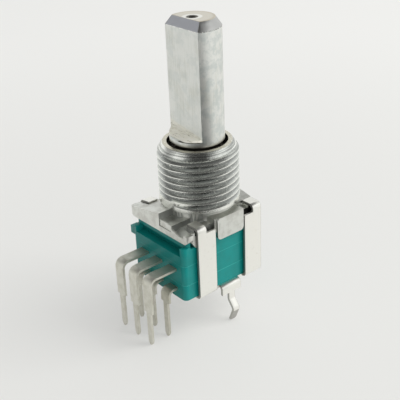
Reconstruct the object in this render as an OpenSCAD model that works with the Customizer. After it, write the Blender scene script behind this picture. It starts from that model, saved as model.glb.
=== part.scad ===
// Dual rotary potentiometer for board mounting. A D-shaft turns in a threaded,
// die-cast bushing. Under it a steel frame folds round a housing and two wafers,
// which hold the resistance boards and two rows of terminals.
// Z is the shaft's axis and height 0 is the seat that goes against a panel. The
// terminals are on the -Y side, and the frame's straps are on the two X sides.

/* [Shaft] */
// Diameter of the shaft
shaft_d = 6; // [5.4:0.05:6.2]
// Height of the shaft's end above the panel seat
shaft_end_z = 20; // [12:0.5:35]
// Size of the shaft from its flat to the round side
flat_across = 4.5; // [3.9:0.1:5.4]
// Round length left between the bushing and the flat
flat_gap = 0.75; // [0.5:0.05:3]
// Height over which the flat runs out to the round shaft
flat_runout = 0.35; // [0.2:0.05:2]
// Chamfer of the shaft's end, inwards
tip_chamfer = 0.65; // [0.2:0.05:0.9]
// Chamfer of the shaft's end, in height
tip_chamfer_h = 0.9; // [0.2:0.05:1.2]
// Diameter of the centre mark in the shaft's end
mark_d = 1.4; // [0.5:0.1:1.8]
// Depth of the centre mark
mark_depth = 0.3; // [0.1:0.05:0.6]
// Height of the turned relief's upper edge above the bushing
relief_rise = 0.05; // [0:0.05:0.4]
// Depth of the turned relief inside the bushing's mouth
relief_len = 0.9; // [0.4:0.1:1]
// Depth of the turned relief, on the radius
relief_step = 0.5; // [0.35:0.05:0.7]
// Radial clearance of the shaft in its bore
shaft_clear = 0.03; // [0.02:0.01:0.06]
// Step from the shaft down to the tang, on the radius
tang_step = 0.9; // [0.8:0.05:1.1]
// Depth of the tang's two flats
tang_flat = 0.5; // [0.3:0.05:0.7]
// Step from the tang's flats to the pivot, on the radius
pivot_step = 0.3; // [0.25:0.05:0.5]
// Length of the pivot inside the lower wafer
pivot_len = 0.9; // [0.5:0.05:1.1]
// Small bevels at the relief's ends
relief_bevel = 0.12; // [0.05:0.01:0.2]
// Depth at which the flat's run-out begins
runout_depth = 0.2; // [0.05:0.05:0.4]

/* [Bushing] */
// Wall of the bushing, from the shaft to the thread's crest
bush_wall = 1.5; // [1.3:0.05:2]
// Height of the bushing above the panel seat
bush_h = 6.8; // [5:0.1:10]
// Width of the chamfer at the bushing's upper end
bush_chamfer_w = 0.7; // [0.3:0.05:0.85]
// Height of that chamfer
bush_chamfer_h = 1; // [0.2:0.05:1.2]
// Gap between the shaft and the bushing's mouth
mouth_gap = 0.35; // [0.25:0.05:0.6]
// Depth of the bushing's mouth
mouth_depth = 1.2; // [0.6:0.1:2]
// Depth of the neck under the thread, on the radius
neck_step = 0.45; // [0.3:0.05:0.7]

/* [Base plate] */
// Height of the plate from its underside to the panel seat
plate_h = 2.1; // [1.9:0.1:3]
// Set-back of the rail and the aprons behind the straps
plate_back = 0.05; // [0.01:0.01:0.1]
// Set-back of the rail behind the mouldings' front face
rail_back = 0.25; // [0.1:0.05:0.4]
// Width of the rail, along Y
rail_len = 0.8; // [0.6:0.05:1]
// Corner radius of the rail, seen from above
rail_r = 0.3; // [0.1:0.05:0.35]
// Radius of the rail's lower ends, seen from the front
rail_end_r = 0.65; // [0.2:0.05:0.9]
// Depth of the plate's middle below the seat
middle_drop = 0.5; // [0.3:0.05:0.6]
// Depth of the floor beside the inner halves of the straps
side_drop = 1.15; // [1.15:0.05:1.4]
// Depth of the left end of the sloping front block
slope_drop = 0.95; // [0.94:0.01:1.1]
// Place of the front block's right side, from the axis
block_right = 0.25; // [0:0.05:0.8]
// Width of the level strip at the top of the front block and of the rear pad
ridge_w = 0.16; // [0.1:0.02:0.4]
// Gap between the aprons and the front straps
apron_front_gap = 0.34; // [0.1:0.02:0.6]
// Gap between the aprons and the rear straps
apron_back_gap = 0.1; // [0.06:0.02:0.3]
// Depth of the aprons' lower edge below the seat
apron_drop = 3.05; // [2.4:0.05:3.4]
// Corner radius of the aprons, seen from the side
apron_r = 0.45; // [0.1:0.05:0.8]
// Bevel at the aprons' upper front corner
apron_bevel = 0.25; // [0.1:0.05:0.4]
// Length of the plate's corner feet below its underside
foot_h = 0.75; // [0.3:0.05:0.8]
// Size of the corner feet, along X and along Y
foot_size = 0.8; // [0.5:0.05:0.9]
// Slope of the corner feet's front side
foot_slope = 0.5; // [0.2:0.05:0.6]
// Width of the recess right of the front block
tray_w = 1.35; // [1:0.05:1.5]
// Depth of that recess below the seat
tray_drop = 0.86; // [0.8:0.01:0.9]
// Depth of the recess's front edge below the seat
tray_lip_drop = 0.68; // [0.6:0.01:0.78]
// Width of the rib right of the recess
rib_w = 0.7; // [0.4:0.05:0.8]
// Depth of the rib below the seat
rib_drop = 0.75; // [0.7:0.01:0.8]
// Set-back of the front face under the recess and the rib
face_back = 0.08; // [0.04:0.01:0.14]
// Thickness of the pocket's front wall
pocket_wall = 0.25; // [0.2:0.01:0.4]
// Thickness of the pocket's end wall
pocket_end = 0.6; // [0.4:0.05:0.8]
// Depth of the pocket's floor at the front
pocket_drop = 1.75; // [1.6:0.01:1.85]
// Depth of the pocket's floor at the back
pocket_back_drop = 1.35; // [1.2:0.01:1.5]
// Depth of the front wall's left end
wall_left_drop = 1.1; // [0.9:0.01:1.2]
// Depth of the front wall's right end
wall_right_drop = 1.48; // [1.2:0.01:1.55]
// Depth of the end wall
wall_end_drop = 1.05; // [0.95:0.01:1.2]
// Length of the level stretch at the right end of the front wall's top
wall_level = 0.6; // [0.3:0.05:0.8]
// Length over which the front wall's top then rises to the end wall
wall_rise = 0.2; // [0.1:0.05:0.4]
// Gap beside the straps in the plate's recesses
strap_clear = 0.1; // [0.05:0.01:0.12]
// Depth of the slots behind the straps' bends
slot_w = 0.25; // [0.1:0.05:0.4]
// Thickness left under those slots
slot_floor = 0.2; // [0.1:0.05:0.4]

/* [Mouldings] */
// Wall of the mouldings beside the rotor chambers
case_wall = 0.43; // [0.35:0.01:0.6]
// Thickness of the mouldings in front of the chambers
front_wall = 2.15; // [2:0.05:2.6]
// Thickness of the mouldings behind the chambers
back_wall = 0.65; // [0.4:0.05:1]
// Radius of their vertical corners
case_r = 0.55; // [0.2:0.05:0.6]
// Thickness of the lower wafer's floor under the pivot
floor_t = 0.26; // [0.2:0.02:0.6]
// Gap round the rotors in their chambers
chamber_gap = 0.2; // [0.1:0.05:0.3]
// Thickness of the web between the upper terminals and the lower chamber
web_t = 0.4; // [0.3:0.02:0.6]
// Set-back of the housing's lip behind its front face
lip_back = 0.6; // [0.4:0.05:0.8]
// Height of the housing's lip
lip_h = 0.75; // [0.5:0.05:0.9]
// Set-back of the groove under the lip
groove_back = 1.1; // [0.9:0.05:1.2]
// Height of the groove under the lip
groove_h = 0.9; // [0.5:0.05:1]
// Width of the corner posts at the groove's ends
post_w = 0.63; // [0.5:0.01:0.8]
// Gap between the right corner post and the rail above it
post_gap = 0.6; // [0.3:0.05:0.7]
// Gap between the left corner post and the rail above it
left_post_gap = 1; // [0.3:0.05:1.1]
// Width of the lug on the housing's left side
ear_w = 0.55; // [0.2:0.05:0.6]
// Height of that lug
ear_h = 0.95; // [0.6:0.05:1.1]
// Depth of that lug's top below the base plate
ear_drop = 1.3; // [0.9:0.05:1.5]
// Length of that lug, along Y
ear_len = 0.85; // [0.6:0.05:1.1]
// Set-back of that lug behind the front face
ear_back = 0.1; // [0:0.05:0.3]
// Gap round the plate's feet and its stop boss in the housing
seat_gap = 0.05; // [0.02:0.01:0.1]

/* [Boards] */
// Thickness of the resistance boards
board_t = 0.5; // [0.4:0.02:0.56]
// Depth of the boards below the wafers' top faces
board_drop = 0.14; // [0.08:0.02:0.2]
// Set-back of the boards' edge inside the chamber's wall
board_back = 0.2; // [0.1:0.05:0.3]
// Width of the boards' front tongue beyond the outer terminals
tongue_over = 0.2; // [0.1:0.05:0.4]
// Set-back of the tongue's edge behind the front face
tongue_back = 0.75; // [0.6:0.05:1]
// Gap between the tang and the holes of boards and wipers
tang_gap = 0.3; // [0.2:0.05:0.4]
// Clearance round the boards in their pockets
board_clear = 0.05; // [0.02:0.01:0.1]

/* [Terminals] */
// Spacing of the terminals in a row
pitch = 2.5; // [2.2:0.05:2.6]
// Thickness of the terminal strip
strip_t = 0.3; // [0.2:0.02:0.34]
// Width of the terminals
strip_w = 1.4; // [1:0.05:1.6]
// Width of the pins under the shoulders
pin_w = 0.72; // [0.5:0.02:0.95]
// Distance of the front row in front of the mouldings
front_reach = 3.49; // [2.6:0.01:4]
// Distance of the back row in front of the mouldings
back_reach = 1.15; // [1.05:0.01:1.6]
// Inside radius of the front row's bends
front_bend_r = 0.6; // [0.3:0.05:0.9]
// Inside radius of the back row's bends
back_bend_r = 0.45; // [0.2:0.05:0.5]
// Depth of the front row's shoulders below the frame
front_shoulder = 0.4; // [0:0.05:0.8]
// Depth of the back row's shoulders below the frame
back_shoulder = 0.05; // [0:0.05:0.8]
// Length of the pins below the frame
pin_len = 4.6; // [3:0.05:6]
// Chamfer of the pins' ends
pin_chamfer = 0.22; // [0.05:0.01:0.24]
// Length of strip held under a board
strip_hold = 1.6; // [1:0.1:1.8]

/* [Frame] */
// Thickness of the frame's sheet
sheet_t = 0.3; // [0.24:0.01:0.34]
// Gap between the straps and the mouldings
strap_back = 0.22; // [0.15:0.01:0.4]
// Width of each strap
strap_w = 2.5; // [2:0.05:2.6]
// Distance between the two straps on one side
strap_gap = 4.2; // [4.1:0.05:4.3]
// Width of the tab at the top of each strap
tab_w = 1.25; // [0.8:0.05:1.5]
// Straight length of the tabs
tab_len = 1.2; // [0.5:0.05:1.3]
// Depth of the tabs' top face below the seat
tab_drop = 0.62; // [0.5:0.02:0.64]
// Angle by which the left front tab stands up
loose_tab = 8; // [0:1:16]
// Inside radius of the bends under the tabs
tab_bend_r = 0.25; // [0.1:0.05:0.5]
// Inside radius of the bends at the frame's bottom
frame_bend_r = 0.25; // [0.1:0.05:0.4]
// Depth of the straps' inner halves below the seat
notch_drop = 1.47; // [1.2:0.01:1.8]
// Width of the lugs that carry the legs
lug_w = 2.8; // [2:0.1:3.4]
// Depth of the lugs' lower edge below the frame
lug_drop = 0.95; // [0.7:0.05:1.3]
// Width of the legs
leg_w = 0.9; // [0.7:0.05:1.4]
// Straight length of the leg's neck
leg_neck = 0.75; // [0.3:0.05:1]
// Straight length of the leg's outward part
leg_out = 0.9; // [0.5:0.05:1.2]
// Angle of the leg's outward part
leg_out_angle = 37; // [20:1:40]
// Angle of the leg's inward end
leg_in_angle = 22; // [15:1:30]
// Chamfer of the leg's end
leg_chamfer = 0.15; // [0.1:0.05:0.3]

/* [Inside] */
// Angle that the shaft turns through from stop to stop
travel = 300; // [240:5:310]
// Free angle left at each stop
stop_free = 0.4; // [0.2:0.1:1]
// Half angle of the stop boss under the plate
boss_half = 12; // [8:1:20]
// Height of the retaining ring above the shaft's surface
ring_rise = 0.5; // [0.4:0.05:0.6]
// Thickness of the retaining ring
ring_t = 0.5; // [0.4:0.02:0.54]
// Depth of the ring's groove in the shaft
groove_depth = 0.5; // [0.4:0.05:0.6]
// Width of the thrust washer beyond the ring
washer_over = 0.05; // [0.02:0.01:0.1]
// Thickness of the thrust washer
washer_t = 0.25; // [0.2:0.01:0.28]
// Axial play of the shaft
play = 0.02; // [0.01:0.01:0.03]
// Gap round the washer in the plate's recess
recess_gap = 0.1; // [0.05:0.01:0.15]
// Height of the retaining ring above the plate's underside
ring_over = 0.18; // [0.1:0.01:0.3]
// Thickness of the stop plate
stop_t = 0.5; // [0.4:0.02:0.54]
// Wall of the stop plate round the tang
stop_wall = 1.2; // [1:0.05:1.4]
// Gap round the stop plate and over the rotors
layer_gap = 0.1; // [0.06:0.01:0.12]
// Width of the rotors beyond the wipers
rotor_over = 0.3; // [0.1:0.05:0.4]
// Wall of the rotors' hubs round the tang
hub_wall = 0.8; // [0.6:0.05:1]
// Height of the upper rotor
hub_h = 1.8; // [1.4:0.05:2.4]
// Thickness of the rotors' discs
disc_t = 0.6; // [0.5:0.02:0.6]
// Clearance round the tang and round the wipers' studs
key_clear = 0.02; // [0.01:0.01:0.04]
// Thickness of the wipers' sheet
wiper_t = 0.12; // [0.08:0.01:0.14]
// Width of the wipers' ring
wiper_ring_w = 1.2; // [1:0.05:1.3]
// Height left between a rotor and its board
wiper_room = 0.5; // [0.4:0.02:0.7]
// Width of the wipers' arms
arm_w = 0.5; // [0.3:0.05:0.6]
// Length of the wipers' arms
arm_len = 2.2; // [1.6:0.1:2.4]
// Diameter of the studs that hold the wipers
stud_d = 0.6; // [0.4:0.05:0.7]
// Width of the stop boss outside the chamber's wall
boss_over = 0.15; // [0.1:0.05:0.25]

/* [Hidden] */
$fn = 64;
// Steps of each bend in a sheet
bend_steps = 8;
// Far enough to cut right through
far = 30;
// Overlap that makes shapes of one piece run together
lap = 0.02;

zinc = [0.68, 0.68, 0.66];
steel = [0.72, 0.72, 0.70];
nickel = [0.84, 0.84, 0.80];
tin = [0.80, 0.79, 0.74];
teal = [0.08, 0.47, 0.44];
phenolic = [0.45, 0.28, 0.14];
rotor_white = [0.88, 0.87, 0.82];
bronze = [0.75, 0.52, 0.28];

// Diameters, from the shaft outwards
thread_d = shaft_d + 2 * bush_wall;
bush_ring_d = thread_d - 2 * bush_chamfer_w;
mouth_d = shaft_d + 2 * mouth_gap;
neck_d = thread_d - 2 * neck_step;
relief_d = shaft_d - 2 * relief_step;
groove_d = shaft_d - 2 * groove_depth;
ring_d = shaft_d + 2 * ring_rise;
washer_d = ring_d + 2 * washer_over;
recess_d = washer_d + 2 * recess_gap;
tang_d = shaft_d - 2 * tang_step;
tang_across = tang_d - 2 * tang_flat;
pivot_d = tang_across - 2 * pivot_step;
tang_hole_d = tang_d + 2 * tang_gap;
hub_d = tang_d + 2 * hub_wall;
stop_d = tang_d + 2 * stop_wall;
wiper_d = tang_hole_d + 2 * wiper_ring_w;
rotor_d = wiper_d + 2 * rotor_over;
chamber_d = rotor_d + 2 * chamber_gap;
board_d = chamber_d - 2 * board_back;

// Widths and faces, from the chambers outwards
case_w = chamber_d + 2 * case_wall;
case_front = chamber_d / 2 + front_wall;
case_back = chamber_d / 2 + back_wall;
frame_w = case_w + 2 * strap_back + 2 * sheet_t;
plate_w = frame_w - 2 * plate_back;
rail_front = case_front - rail_back;
front_row = case_front + front_reach;
back_row = case_front + back_reach;
tongue_front = case_front - tongue_back;
tongue_w = 2 * pitch + strip_w + 2 * tongue_over;

// Heights of the mouldings, each the sum of what it holds
housing_h = layer_gap + stop_t + hub_h + wiper_room - board_drop;
gang_pitch = board_t + strip_t + web_t + layer_gap + disc_t + wiper_room;
lower_wafer_h = board_drop + board_t + pivot_len + layer_gap + floor_t;
recess_depth = washer_t + play + ring_t + ring_over;

// Heights, all measured from the panel seat
plate_z = -plate_h;
upper_top_z = plate_z - housing_h;
lower_top_z = upper_top_z - gang_pitch;
case_z = lower_top_z - lower_wafer_h;
frame_z = case_z - sheet_t;
pin_end_z = frame_z - pin_len;
flat_z = bush_h + flat_gap;
corner_drop = tab_drop + sheet_t;
ledge_z = plate_z - lip_h - groove_h;

// Distances from the axis
frame_in = frame_w / 2 - sheet_t;
core_x = frame_in;
strap_in = strap_gap / 2;
strap_out = strap_in + strap_w;
core_y = strap_out + strap_clear;
tab_bend_x = frame_w / 2 - sheet_t - tab_bend_r;
tab_tip_x = tab_bend_x - tab_len;
flat_y = flat_across - shaft_d / 2;

// Places along the axis inside
recess_z = plate_z + recess_depth;
washer_z = recess_z - washer_t;
ring_z = washer_z - play - ring_t;
stop_z = plate_z - layer_gap - stop_t;
journal_z = stop_z + stop_t;
upper_board_z = upper_top_z - board_drop;
lower_board_z = lower_top_z - board_drop;
lower_chamber_z = upper_top_z - board_drop - board_t - strip_t - web_t;
upper_rotor_top = stop_z;
lower_rotor_top = lower_chamber_z - layer_gap;
upper_rotor_z = upper_board_z + wiper_room;
lower_rotor_z = lower_board_z + wiper_room;
pivot_z = lower_board_z - board_t;
tang_end_z = pivot_z - pivot_len;
boss_in = recess_d / 2 + lap;
boss_out = chamber_d / 2 + boss_over;

function reversed(list) = [for (i = [len(list) - 1:-1:0]) list[i]];

// One face of a bent strip. Each leg is [straight run, turn, inside radius], and
// side is 1 for the strip's left face and -1 for its right face.
function strip_face(legs, t, side, i = 0, x = 0, y = 0, a = 0) =
    i >= len(legs) ? [] :
    let (
        run = legs[i][0],
        turn = legs[i][1],
        mid = legs[i][2] + t / 2,
        way = turn < 0 ? -1 : 1,
        steps = turn == 0 ? 0 : bend_steps,
        cx = x + run * cos(a) - way * mid * sin(a),
        cy = y + run * sin(a) + way * mid * cos(a),
        rad = mid - way * side * t / 2
    )
    concat(
        [for (k = [0:steps]) let (b = a + turn * k / max(steps, 1))
            [cx + way * rad * sin(b), cy - way * rad * cos(b)]],
        strip_face(legs, t, side, i + 1,
                   cx + way * mid * sin(a + turn), cy - way * mid * cos(a + turn), a + turn));

// Outline of a bent strip, which starts at the origin and heads along X
module bent_strip(legs, t) {
    polygon(concat([[0, t / 2]], strip_face(legs, t, 1),
                   reversed(strip_face(legs, t, -1)), [[0, -t / 2]]));
}

// Extrudes an outline in X and Z along Y, from y0 to y1
module along_y(y0, y1) {
    translate([0, y1, 0]) rotate([90, 0, 0]) linear_extrude(height = y1 - y0) children();
}

// Extrudes an outline whose X runs to the front and whose Y runs up, centred on X
module across_x(w) {
    rotate([90, 0, -90]) linear_extrude(height = w, center = true) children();
}

module box(x0, x1, y0, y1, z0, z1) {
    translate([x0, y0, z0]) cube([x1 - x0, y1 - y0, z1 - z0]);
}

module rounded(x0, x1, y0, y1, r) {
    translate([x0 + r, y0]) square([x1 - x0 - 2 * r, y1 - y0]);
    translate([x0, y0 + r]) square([x1 - x0, y1 - y0 - 2 * r]);
    for (x = [x0 + r, x1 - r], y = [y0 + r, y1 - r]) translate([x, y]) circle(r);
}

module prism(z0, z1) {
    translate([0, 0, z0]) linear_extrude(height = z1 - z0) children();
}

module sector(r0, r1, middle, half) {
    intersection() {
        difference() {
            circle(r1);
            circle(r0);
        }
        rotate(middle) polygon([[0, 0], [far * cos(half), -far * sin(half)], [far, 0],
                                [far * cos(half), far * sin(half)]]);
    }
}

// Section of the tang: a round bar with two flats. Only its round sides get
// clearance, because the pieces on it sit on the flats.
module tang_outline(extra = 0) {
    intersection() {
        circle(tang_d / 2 + extra);
        square([tang_across, far], center = true);
    }
}

module shaft() color(steel) difference() {
    union() {
        rotate_extrude() polygon([
            [0, shaft_end_z], [shaft_d / 2 - tip_chamfer, shaft_end_z],
            [shaft_d / 2, shaft_end_z - tip_chamfer_h],
            [shaft_d / 2, bush_h + relief_rise + relief_bevel],
            [shaft_d / 2 - relief_bevel, bush_h + relief_rise],
            [relief_d / 2, bush_h + relief_rise], [relief_d / 2, bush_h - relief_len],
            [shaft_d / 2, bush_h - relief_len - relief_bevel],
            [shaft_d / 2, ring_z + ring_t + play], [groove_d / 2, ring_z + ring_t + play],
            [groove_d / 2, ring_z], [shaft_d / 2, ring_z],
            [shaft_d / 2, journal_z], [0, journal_z]]);
        prism(pivot_z, journal_z) tang_outline();
        prism(tang_end_z, journal_z) circle(pivot_d / 2);
    }
    // The flat, its run-out at the bottom and its bevel at the top
    across_x(far) polygon([
        [flat_y, flat_z + flat_runout], [flat_y, shaft_end_z - tip_chamfer_h],
        [flat_y - tip_chamfer, shaft_end_z], [flat_y - tip_chamfer, shaft_end_z + 1],
        [far, shaft_end_z + 1], [far, flat_z], [shaft_d / 2 - runout_depth, flat_z]]);
    // Centre mark
    translate([0, 0, shaft_end_z - mark_depth])
        cylinder(h = mark_depth + lap, d1 = mark_d / 4, d2 = mark_d);
}

// The rail along the front, with rounded lower ends
module rail() {
    intersection() {
        prism(plate_z, 0) difference() {
            rounded(-plate_w / 2, plate_w / 2, -rail_front, 0, rail_r);
            translate([-far, -rail_front + rail_len]) square([2 * far, far]);
        }
        along_y(-rail_front, far) difference() {
            rounded(-plate_w / 2, plate_w / 2, plate_z, plate_h, rail_end_r);
            translate([-far, -min(corner_drop, wall_end_drop)]) square([2 * far, far]);
        }
    }
}

// Places of the recess, the rib and the pocket along the front
tray_x = block_right + tray_w;
rib_x = tray_x + rib_w;
pocket_x = plate_w / 2 - pocket_end;
body_front = rail_front - rail_len;
// Where the plate's recesses for the straps begin
strap_near = strap_in - strap_clear;

// Everything above the corner recesses: front block, rib, middle and rear pad
module plate_top() {
    // Front block, whose top slopes down to the left
    intersection() {
        prism(plate_z, 0) rounded(-plate_w / 2, plate_w / 2, -rail_front, 0, rail_r);
        along_y(-rail_front, -strap_in) polygon([
            [-plate_w / 2, -slope_drop], [block_right - ridge_w, 0], [block_right, 0],
            [block_right, -side_drop], [-plate_w / 2, -side_drop]]);
        box(-far, far, -rail_front, -strap_in, -far, far);
    }
    box(block_right - lap, tray_x, -rail_front, -strap_in, -side_drop, -tray_lip_drop);
    box(tray_x - lap, rib_x, -rail_front, -strap_in, -side_drop, -rib_drop);
    box(-core_x, core_x, -strap_near, strap_near, -corner_drop, -middle_drop);
    // Rear pad, a roof that falls to both sides as the front block does
    roof = slope_drop * tab_tip_x / (plate_w / 2);
    along_y(strap_near - lap, core_y) polygon([
        [-tab_tip_x + lap, -corner_drop - lap], [-tab_tip_x + lap, -roof], [-ridge_w / 2, 0],
        [ridge_w / 2, 0], [tab_tip_x - lap, -roof], [tab_tip_x - lap, -corner_drop - lap]]);
}

module apron() {
    x0 = case_w / 2;
    front = -strap_in + apron_front_gap;
    back = strap_in - apron_back_gap;
    translate([x0, 0, 0]) rotate([90, 0, 90]) linear_extrude(height = plate_w / 2 - x0)
        intersection() {
            rounded(front, back, -apron_drop, -middle_drop + 2 * apron_r, apron_r);
            polygon([[front, -far], [back, -far], [back, -middle_drop],
                     [front + apron_bevel, -middle_drop], [front, -middle_drop - apron_bevel]]);
        }
}

// Feet at the plate's corners. The front ones slope up to the rail.
module feet() {
    x0 = core_x - foot_size;
    low = plate_z - foot_h;
    for (sx = [0, 1]) mirror([sx, 0, 0]) {
        box(x0, core_x, core_y - foot_size, core_y, low, plate_z + lap);
        translate([x0, 0, 0]) rotate([90, 0, 90]) linear_extrude(height = foot_size) polygon([
            [-body_front, plate_z + lap], [-body_front, plate_z], [-body_front + foot_slope, low],
            [-core_y + foot_size, low], [-core_y + foot_size, plate_z + lap]]);
    }
}

// What is cut away beside and under the straps
module strap_cuts() {
    split = strap_out - tab_w;
    for (sx = [0, 1], sy = [0, 1]) mirror([sx, 0, 0]) mirror([0, sy, 0]) {
        // Floor beside the strap's inner half, and the slot behind it
        box(tab_tip_x, far, strap_near, split, -side_drop, far);
        box(tab_bend_x - slot_w, far, strap_near, strap_out - slot_w, plate_z + slot_floor, far);
        // Room for the tab and its bend
        box(tab_tip_x - lap, far, split - lap, core_y + lap, -corner_drop, far);
        box(tab_bend_x, far, split - lap, core_y + lap, -notch_drop, far);
    }
}

// The recess and the pocket right of the front block
module front_cuts() {
    wall_y = -rail_front + pocket_wall;
    step_y = -core_y;
    // Front face under the recess and the rib
    box(block_right, rib_x, -far, -rail_front + face_back, -rib_drop - rib_w, far);
    box(block_right, tray_x, wall_y, -strap_in, -tray_drop, far);
    // The pocket, whose floor falls to the front, and its branch to the neck
    for (x = [[rib_x, pocket_x, step_y], [rib_x, tab_tip_x - lap, -strap_in]])
        translate([x[0], 0, 0]) rotate([90, 0, 90]) linear_extrude(height = x[1] - x[0])
            polygon([[wall_y, far], [wall_y, -pocket_drop], [step_y, -pocket_back_drop],
                     [x[2], -pocket_back_drop], [x[2], far]]);
    // The tops of the pocket's walls
    along_y(-far, -core_y) polygon([
        [rib_x, far], [rib_x, -wall_left_drop],
        [pocket_x - wall_rise - wall_level, -wall_right_drop],
        [pocket_x - wall_rise, -wall_right_drop], [pocket_x, -wall_end_drop],
        [far, -wall_end_drop], [far, far]]);
}

module bushing_plate() color(zinc) difference() {
    union() {
        rotate_extrude() polygon([
            [0, 0], [thread_d / 2, 0], [thread_d / 2, bush_h - bush_chamfer_h],
            [bush_ring_d / 2, bush_h], [0, bush_h]]);
        prism(plate_z, lap) circle(neck_d / 2);
        difference() {
            union() {
                rail();
                prism(plate_z, -corner_drop) rounded(-core_x, core_x, -body_front - lap, core_y, rail_r);
                plate_top();
                feet();
            }
            strap_cuts();
            front_cuts();
        }
        for (sx = [0, 1]) mirror([sx, 0, 0]) apron();
        prism(plate_z - stop_t - 2 * layer_gap, plate_z + lap)
            sector(boss_in, boss_out, 90, boss_half);
    }
    // Bore, mouth, and the recess for ring and washer
    cylinder(h = 2 * far, r = shaft_d / 2 + shaft_clear, center = true);
    translate([0, 0, bush_h - mouth_depth]) cylinder(h = far, d = mouth_d);
    translate([0, 0, plate_z - 1]) cylinder(h = recess_depth + 1, d = recess_d);
}

// One strap from the frame's middle, with its tab or without
module strap(y0, y1, tab, lift = 0) {
    rise = -frame_z - sheet_t - frame_bend_r;
    up = tab ? rise - sheet_t - tab_drop - tab_bend_r : rise - notch_drop;
    legs = concat(
        [[frame_w / 2 - sheet_t - frame_bend_r, 90, frame_bend_r]],
        tab ? [[up, 90 - lift, tab_bend_r], [tab_len, 0, 0]] : [[up, 0, 0]]);
    translate([0, 0, frame_z + sheet_t / 2]) along_y(y0, y1) bent_strip(legs, sheet_t);
}

// Lug bent down from the frame's bottom, with its kinked snap-in leg. The leg
// ends level with the terminals.
module lug_and_leg() {
    out = frame_w / 2 - sheet_t - frame_bend_r;
    drop = lug_drop - frame_bend_r;
    half = leg_w / 2;
    translate([0, 0, frame_z + sheet_t / 2]) along_y(-lug_w / 2, lug_w / 2)
        bent_strip([[out, -90, frame_bend_r], [drop, 0, 0]], sheet_t);
    intersection() {
        translate([0, 0, frame_z + sheet_t / 2]) along_y(-half, half)
            bent_strip([[out, -90, frame_bend_r], [drop + leg_neck, leg_out_angle, sheet_t],
                        [leg_out, -leg_out_angle - leg_in_angle, sheet_t],
                        [pin_len, 0, 0]], sheet_t);
        rotate([90, 0, 90]) linear_extrude(height = far) polygon([
            [-half, 0], [-half, pin_end_z + leg_chamfer], [-half + leg_chamfer, pin_end_z],
            [half - leg_chamfer, pin_end_z], [half, pin_end_z + leg_chamfer], [half, 0]]);
    }
}

module frame() color(nickel) {
    box(-frame_w / 2 + sheet_t + frame_bend_r, frame_w / 2 - sheet_t - frame_bend_r,
        -strap_out, strap_out, frame_z, case_z);
    for (sx = [0, 1], sy = [0, 1]) mirror([sx, 0, 0]) {
        split = strap_out - tab_w;
        lift = sx == 1 && sy == 0 ? loose_tab : 0;
        if (sy == 0) {
            strap(-strap_out, -split, true, lift);
            strap(-split, -strap_in, false);
        } else {
            strap(split, strap_out, true);
            strap(strap_in, split, false);
        }
    }
    for (sx = [0, 1]) mirror([sx, 0, 0]) lug_and_leg();
}

// Plan of the mouldings
module case_plan(front = case_front) {
    rounded(-case_w / 2, case_w / 2, -front, case_back, case_r);
}

module top_housing() color(teal) difference() {
    union() {
        prism(upper_top_z, ledge_z) case_plan();
        prism(ledge_z - lap, plate_z) case_plan(case_front - lip_back);
        // Corner posts, which stand at the front face
        for (side = [[0, post_gap], [1, left_post_gap]]) mirror([side[0], 0, 0]) intersection() {
            prism(ledge_z - lap, plate_z - side[1]) case_plan();
            box(case_w / 2 - post_w, far, -far, -case_front + groove_back + strip_t, -far, 0);
        }
        // Lug on the left
        box(-case_w / 2 - ear_w, -case_w / 2 + case_r, -case_front + ear_back,
            -case_front + ear_back + ear_len, plate_z - ear_drop - ear_h, plate_z - ear_drop);
    }
    // Groove under the lip
    box(-case_w / 2 + post_w, case_w / 2 - post_w, -far, -case_front + groove_back,
        ledge_z, plate_z - lip_h);
    // Rotor chamber, with room for the stop boss
    prism(upper_top_z - 1, 1) circle(chamber_d / 2);
    prism(plate_z - stop_t - 3 * layer_gap, 1)
        sector(chamber_d / 2 - ring_rise, boss_out + seat_gap, 90, boss_half + 1);
    // Notches for the plate's corner feet and room behind its aprons
    for (sx = [0, 1]) mirror([sx, 0, 0]) {
        inner = core_x - foot_size - seat_gap;
        bottom = plate_z - foot_h - seat_gap;
        box(inner, far, -body_front - seat_gap, -core_y + foot_size + seat_gap, bottom, 1);
        box(inner, far, core_y - foot_size - seat_gap, far, bottom, 1);
    }
}

// Plan of a resistance board
module board_plan(extra = 0) {
    circle(board_d / 2 + extra);
    translate([-tongue_w / 2 - extra, -tongue_front - extra])
        square([tongue_w + 2 * extra, tongue_front]);
}

module board(top_z) difference() {
    prism(top_z - board_t, top_z) board_plan();
    prism(-far, far) circle(tang_hole_d / 2);
}

// Pocket for a board, and the channels for its three terminals
module board_pocket(top_z) {
    prism(top_z - board_t, top_z + 1) board_plan(board_clear);
    for (i = [-1:1])
        box(i * pitch - strip_w / 2, i * pitch + strip_w / 2, -far,
            -case_front + strip_hold, top_z - board_t - strip_t, top_z - board_t);
}

module upper_wafer() color(teal) difference() {
    prism(lower_top_z, upper_top_z) case_plan();
    board_pocket(upper_board_z);
    prism(-far, far) circle(tang_hole_d / 2);
    prism(lower_top_z - 1, lower_chamber_z) circle(chamber_d / 2);
}

module lower_wafer() color(teal) difference() {
    prism(case_z, lower_top_z) case_plan();
    board_pocket(lower_board_z);
    prism(tang_end_z - layer_gap, pivot_z + 1) circle(pivot_d / 2 + shaft_clear);
}

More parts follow.
